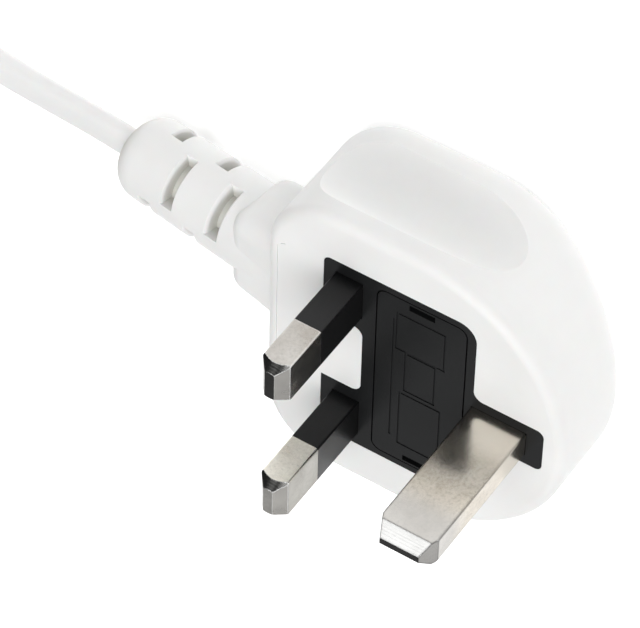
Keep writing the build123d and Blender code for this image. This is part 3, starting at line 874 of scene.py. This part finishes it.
@dataclass
class Lead(SubAssembly):
    """The flat two-core lead, from the strain relief through its coil to the connector.

    Attributes:
        width: Broad side of the flat section, in metres.
        thickness: Narrow side of the section, in metres.
        length: Real length of the lead, in metres; not used.
        coil_centre: Centre of the coil on the floor, in metres.
        coil_radius: Mean radius of the middle turns, in metres.
        pitch_across: Step between turns side by side, in metres.
        pitch_up: Step between layers, in metres.
        start_deg: Direction from the coil's centre at which the first turn starts.
        step_turns: Turns between one change of place in the coil and the next.
        change_turns: Share of a turn that each change takes.
        end_turns: Turns after which the lead leaves the coil.
        points_per_turn: Control points on each turn.
        layers: Layers of turns in the coil.
        tie_deg: Direction from the coil's centre at which the twist tie sits.
        tie_width: Width of the tie's ribbon, in metres.
        tie_thickness: Thickness of the ribbon, in metres.
        tie_under: Thickness of the ribbon where the coil presses it flat, in metres.
        tie_slack: Gap between the tie and the turns, in metres.
        tie_crease_deg: Angle between faces above which the tie has a crease.
        twist_length: Length of the tie's twisted end, in metres.
        twist_turns: Turns in the twisted end.
        route_mm: Control points from the strain relief to the coil, in millimetres.
        tail_mm: Control points from the coil to the connector, in millimetres.
        coil_moves: Steps across and up at each change of place in the coil.
    """

    width: float = 4.7 * MM
    thickness: float = 2.9 * MM
    length: float = 1.5
    coil_centre: tuple[float, float] = (-110.0 * MM, -8.0 * MM)
    coil_radius: float = 27.0 * MM
    pitch_across: float = 3.08 * MM
    pitch_up: float = 4.85 * MM
    start_deg: float = 57.0
    step_turns: float = 0.92
    change_turns: float = 0.16
    end_turns: float = 8.04
    points_per_turn: int = 18
    layers: int = 3
    tie_deg: float = -42.0
    tie_width: float = 3.2 * MM
    tie_thickness: float = 0.5 * MM
    tie_under: float = 0.04 * MM
    tie_slack: float = 0.06 * MM
    tie_crease_deg: float = 50.0
    twist_length: float = 8.0 * MM
    twist_turns: float = 1.75
    route_mm: tuple[Triple, ...] = (
        (-42.28, 0.0, 5.73),
        (-46.74, 0.0, 5.08),
        (-60.5, 0.0, 4.3),
        (-70.0, 0.5, 3.6),
        (-78.5, 4.4, 3.0),
        (-85.5, 9.6, 2.4),
    )
    tail_mm: tuple[Triple, ...] = (
        (-113.8, 16.1, 14.2),
        (-119.5, 15.3, 16.3),
        (-124.5, 12.3, 17.9),
        (-128.2, 7.6, 19.2),
        (-130.0, 2.0, 19.75),
        (-130.0, -4.0, 19.75),
    )
    coil_moves: tuple[tuple[int, int], ...] = (
        (-1, 0), (-1, 0), (0, 1), (1, 0), (1, 0), (0, 1), (-1, 0), (-1, 0),
    )

    def _coil_points(self) -> list[Vector]:
        """Control points of the coil's turns, from the outside of its lowest layer."""
        half_step = math.pi / self.points_per_turn
        points = []
        for index in range(int(self.end_turns * self.points_per_turn) + 1):
            turns = index / self.points_per_turn
            across = 1.0
            up = 0.5
            for number, (side, rise) in enumerate(self.coil_moves, start=1):
                middle = number * self.step_turns
                share = (turns - middle) / self.change_turns + 0.5
                share = min(max(share, 0.0), 1.0)
                across += side * share
                up += rise * share
            radius = (self.coil_radius + across * self.pitch_across) / math.cos(half_step)
            angle = math.radians(self.start_deg) + 2 * math.pi * turns
            x = self.coil_centre[0] + radius * math.cos(angle)
            y = self.coil_centre[1] + radius * math.sin(angle)
            points.append(Vector((x, y, up * self.pitch_up)))
        return points

    def _section(self) -> bpy.types.Object:
        """Closed outline of the flat section, kept out of the render."""
        curve = bpy.data.curves.new("lead_section", "CURVE")
        curve.dimensions = "2D"
        spline = curve.splines.new("BEZIER")
        half_flat = (self.width - self.thickness) / 2
        radius = self.thickness / 2
        reach = QUARTER_HANDLE * radius
        corners = (
            (half_flat, radius, -1, 0),
            (-half_flat, radius, -1, 0),
            (-half_flat - radius, 0.0, 0, -1),
            (-half_flat, -radius, 1, 0),
            (half_flat, -radius, 1, 0),
            (half_flat + radius, 0.0, 0, 1),
        )
        spline.bezier_points.add(len(corners) - 1)
        for point, (x, y, out_x, out_y) in zip(spline.bezier_points, corners):
            point.co = (x, y, 0.0)
            point.handle_left = (x - out_x * reach, y - out_y * reach, 0.0)
            point.handle_right = (x + out_x * reach, y + out_y * reach, 0.0)
        spline.use_cyclic_u = True
        spline.resolution_u = 6
        section = link(bpy.data.objects.new("lead_section", curve))
        section.hide_render = True
        return section

    def _band_rings(self, out: Vector, along: Vector) -> list[list[Vector]]:
        """Sections of the tie's ribbon, round the turns of the coil.

        Args:
            out: Direction away from the coil's centre.
            along: Direction of the turns.
        """
        bend = self.thickness / 2 + self.tie_slack
        reach = self.pitch_across
        low = self.tie_slack + bend
        high = (self.layers - 0.5) * self.pitch_up + self.width / 2 + self.tie_slack - bend
        corners = ((reach, high, 0), (-reach, high, 90), (-reach, low, 180), (reach, low, 270))
        corner_steps = 6
        half = self.tie_width / 2
        # Across the ribbon and out of it: flat wings with a rib over the wire in the middle.
        section = (
            (-half, 0.3), (-0.9 * half, 0.0), (0.9 * half, 0.0), (half, 0.3), (0.95 * half, 0.6),
            (0.3 * half, 0.7), (0.2 * half, 1.4), (-0.2 * half, 1.4), (-0.3 * half, 0.7),
            (-0.95 * half, 0.6),
        )
        rings = []
        for side, level, start in corners:
            for step in range(corner_steps + 1):
                angle = math.radians(start + 90 * step / corner_steps)
                facing = math.cos(angle) * out + math.sin(angle) * Z_AXIS
                middle = (self.coil_radius + side) * out + level * Z_AXIS
                pressed = max(0.0, -facing.z)
                thick = self.tie_thickness * (1 - pressed) + self.tie_under * pressed
                rings.append(
                    [middle + (bend + depth * thick) * facing + x * along for x, depth in section]
                )
        return rings

    def _end_rings(self, out: Vector, along: Vector) -> list[list[list[Vector]]]:
        """Sections of the tie's twisted end and of its two loose tips.

        Args:
            out: Direction away from the coil's centre.
            along: Direction of the turns.
        """
        start = (self.coil_radius + self.pitch_across + self.thickness / 2) * out
        start += (self.layers - 1) * self.pitch_up * Z_AXIS
        ahead = (out + 0.35 * Z_AXIS).normalized()
        across = ahead.cross(along)
        twist = []
        breadth = 0.4 * self.tie_width
        depth = 2.0 * self.tie_thickness
        steps = 24
        for step in range(steps + 1):
            share = step / steps
            turn = 2 * math.pi * self.twist_turns * share
            broad = math.cos(turn) * along + math.sin(turn) * across
            narrow = math.cos(turn) * across - math.sin(turn) * along
            middle = start + share * self.twist_length * ahead
            twist.append(self._oval(middle, breadth * broad, depth * narrow))
        end = start + 0.97 * self.twist_length * ahead
        tips = []
        reach = 0.6 * self.twist_length
        for side in (-1, 1):
            away = (ahead + side * 0.7 * narrow).normalized()
            flat = breadth * broad
            thin = 0.4 * self.tie_thickness * broad.cross(away)
            places = [end + share * reach * away for share in (0, 0.5, 1)]
            tips.append([self._oval(place, flat, thin) for place in places])
        return [twist, *tips]

    @staticmethod
    def _oval(middle: Vector, broad: Vector, narrow: Vector) -> list[Vector]:
        """Eight points round a flat oval section.

        Args:
            middle: The section's middle.
            broad: Half its breadth, along its broad side.
            narrow: Half its thickness, along its narrow side.
        """
        angles = [math.pi * (2 * index + 1) / 8 for index in range(8)]
        return [middle + math.cos(angle) * broad + math.sin(angle) * narrow for angle in angles]

    @staticmethod
    def _skin(mesh: bmesh.types.BMesh, rings: list[list[Vector]], closed: bool) -> None:
        """Lays faces between sections, and caps on the ends of an open row of them.

        Args:
            mesh: The mesh that takes the faces.
            rings: The sections, in order.
            closed: Whether the last section joins the first.
        """
        loops = [[mesh.verts.new(point) for point in ring] for ring in rings]
        for near, far in zip(loops, loops[1:] + loops[:1] if closed else loops[1:]):
            for index in range(len(near)):
                after = (index + 1) % len(near)
                mesh.faces.new((near[index], near[after], far[after], far[index]))
        if not closed:
            mesh.faces.new(loops[0])
            mesh.faces.new(loops[-1])

    def _add_tie(self) -> None:
        """Makes the twist tie that holds the coil."""
        angle = math.radians(self.tie_deg)
        out = Vector((math.cos(angle), math.sin(angle), 0.0))
        along = Vector((-math.sin(angle), math.cos(angle), 0.0))
        work = bmesh.new()
        self._skin(work, self._band_rings(out, along), closed=True)
        for rings in self._end_rings(out, along):
            self._skin(work, rings, closed=False)
        bmesh.ops.translate(work, verts=work.verts, vec=(*self.coil_centre, 0.0))
        bmesh.ops.recalc_face_normals(work, faces=work.faces)
        for face in work.faces:
            face.smooth = True
        mesh = bpy.data.meshes.new("lead_tie")
        work.to_mesh(mesh)
        work.free()
        mesh.set_sharp_from_angle(angle=math.radians(self.tie_crease_deg))
        tie = link(bpy.data.objects.new("lead_tie", mesh))
        dress(tie, self.materials[Finish.CONNECTOR_PVC])
        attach(tie, "plug")
        log.info("tied the coil")

    def build(self) -> None:
        coil = self._coil_points()
        route = [Vector(point) * MM for point in self.route_mm]
        tail = [Vector(point) * MM for point in self.tail_mm]
        curve = bpy.data.curves.new("mains_cord", "CURVE")
        curve.dimensions = "3D"
        curve.twist_mode = "Z_UP"
        curve.bevel_mode = "OBJECT"
        curve.bevel_object = self._section()
        curve.use_fill_caps = True
        points = route + coil + tail
        spline = curve.splines.new("NURBS")
        spline.points.add(len(points) - 1)
        # The section turns on edge along the route, and lies flat again along the tail.
        on_edge = math.pi / 2
        for index, (point, place) in enumerate(zip(spline.points, points)):
            point.co = (*place, 1.0)
            into = (index - 2) / (len(route) - 2)
            out = (index - len(route) - len(coil)) / (len(tail) - 3)
            point.tilt = on_edge * min(max(into, 0.0), 1.0) * (1.0 - min(max(out, 0.0), 1.0))
        spline.order_u = 3
        spline.use_endpoint_u = True
        spline.resolution_u = 6
        cord = link(bpy.data.objects.new("mains_cord", curve))
        dress(cord, self.materials[Finish.LEAD_PVC])
        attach(cord, "plug")
        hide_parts("mains_lead", "cord_coil", "lead_tail")
        self._add_tie()
        log.info("laid the lead with %d points", len(points))


@dataclass
class Studio:
    """Camera, pale floor and soft lights.

    Attributes:
        camera_place: Where the camera stands, in metres.
        aim: Point that the middle of the view looks at, in metres.
        up: Direction that is up in the picture.
        lens: Focal length, in millimetres.
        sensor: Width of the camera's sensor, in millimetres.
        floor_reach: Half the side of the floor, in metres.
        floor_glow: Light that comes up through the floor, as on a light table.
        air_light: Strength of the even light from all round.
    """

    camera_place: Triple = (0.18769, 0.41398, 0.32647)
    aim: Triple = (-0.0041, 0.0050, 0.0204)
    up: Triple = (-0.4204, 0.6616, -0.6209)
    lens: float = 246.4
    sensor: float = 36.0
    floor_reach: float = 3.0
    floor_glow: float = 0.41
    air_light: float = 0.10

    def place_camera(self) -> None:
        """Sets the camera at the photograph's viewing angle."""
        data = bpy.data.cameras.new("camera")
        data.lens = self.lens
        data.sensor_width = self.sensor
        data.clip_start = 0.05
        data.clip_end = 10.0
        camera = link(bpy.data.objects.new("camera", data))
        place = Vector(self.camera_place)
        back = (place - Vector(self.aim)).normalized()
        right = Vector(self.up).cross(back).normalized()
        true_up = back.cross(right)
        turn = Matrix((right, true_up, back)).transposed()
        camera.matrix_world = Matrix.Translation(place) @ turn.to_4x4()
        bpy.context.scene.camera = camera
        log.info("placed the camera")

    def lay_floor(self) -> None:
        """Lays a plain pale floor under the plug."""
        material, shader = new_material("floor_paper")
        shader.inputs["Base Color"].default_value = (0.93, 0.93, 0.93, 1.0)
        shader.inputs["Roughness"].default_value = 0.9
        shader.inputs["Specular IOR Level"].default_value = 0.1
        shader.inputs["Emission Color"].default_value = (1.0, 1.0, 1.0, 1.0)
        shader.inputs["Emission Strength"].default_value = self.floor_glow
        sheet = bmesh.new()
        bmesh.ops.create_grid(sheet, x_segments=1, y_segments=1, size=self.floor_reach)
        mesh = bpy.data.meshes.new("floor")
        sheet.to_mesh(mesh)
        sheet.free()
        floor = link(bpy.data.objects.new("floor", mesh))
        dress(floor, material)

    def _softbox(
        self,
        name: str,
        place: Triple,
        size: tuple[float, float],
        power: float,
    ) -> None:
        """Adds one soft rectangular light that faces the plug.

        Args:
            name: The light's name.
            place: Where it stands, in metres.
            size: Its width and height, in metres.
            power: Its power, in watts.
        """
        data = bpy.data.lights.new(name, "AREA")
        data.shape = "RECTANGLE"
        data.size = size[0]
        data.size_y = size[1]
        data.energy = power
        lamp = link(bpy.data.objects.new(name, data))
        lamp.location = place
        direction = Vector(self.aim) - Vector(place)
        lamp.rotation_euler = direction.to_track_quat("-Z", "Y").to_euler()

    def light(self) -> None:
        """Hangs the softboxes and sets the even light round them."""
        self._softbox("key_softbox", (0.55, 0.46, 1.08), (0.95, 0.95), 9.3)
        self._softbox("top_softbox", (0.05, -0.05, 1.20), (0.8, 0.8), 7.3)
        self._softbox("left_softbox", (-0.35, 0.80, 1.20), (0.8, 0.7), 2.7)
        self._softbox("back_reflector", (0.15, -1.30, 0.55), (2.0, 0.75), 4.2)
        world = bpy.data.worlds.new("studio_air")
        world.use_nodes = True
        air = world.node_tree.nodes["Background"]
        air.inputs["Color"].default_value = (1.0, 1.0, 1.0, 1.0)
        air.inputs["Strength"].default_value = self.air_light
        bpy.context.scene.world = world
        bpy.context.scene.view_settings.view_transform = "Standard"
        log.info("set the lights")


def main() -> None:
    """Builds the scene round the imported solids."""
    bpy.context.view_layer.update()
    effects = Effects()
    materials = {finish: finish.value.build(effects) for finish in Finish}
    studio = Studio()
    studio.place_camera()
    for sub_assembly in (Lead, Moulding, Pins, FuseDrawer, Wiring, Connector):
        sub_assembly(frame["nodes"], materials).build()
    studio.lay_floor()
    studio.light()


if __name__ == "__main__":
    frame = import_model()
    main()
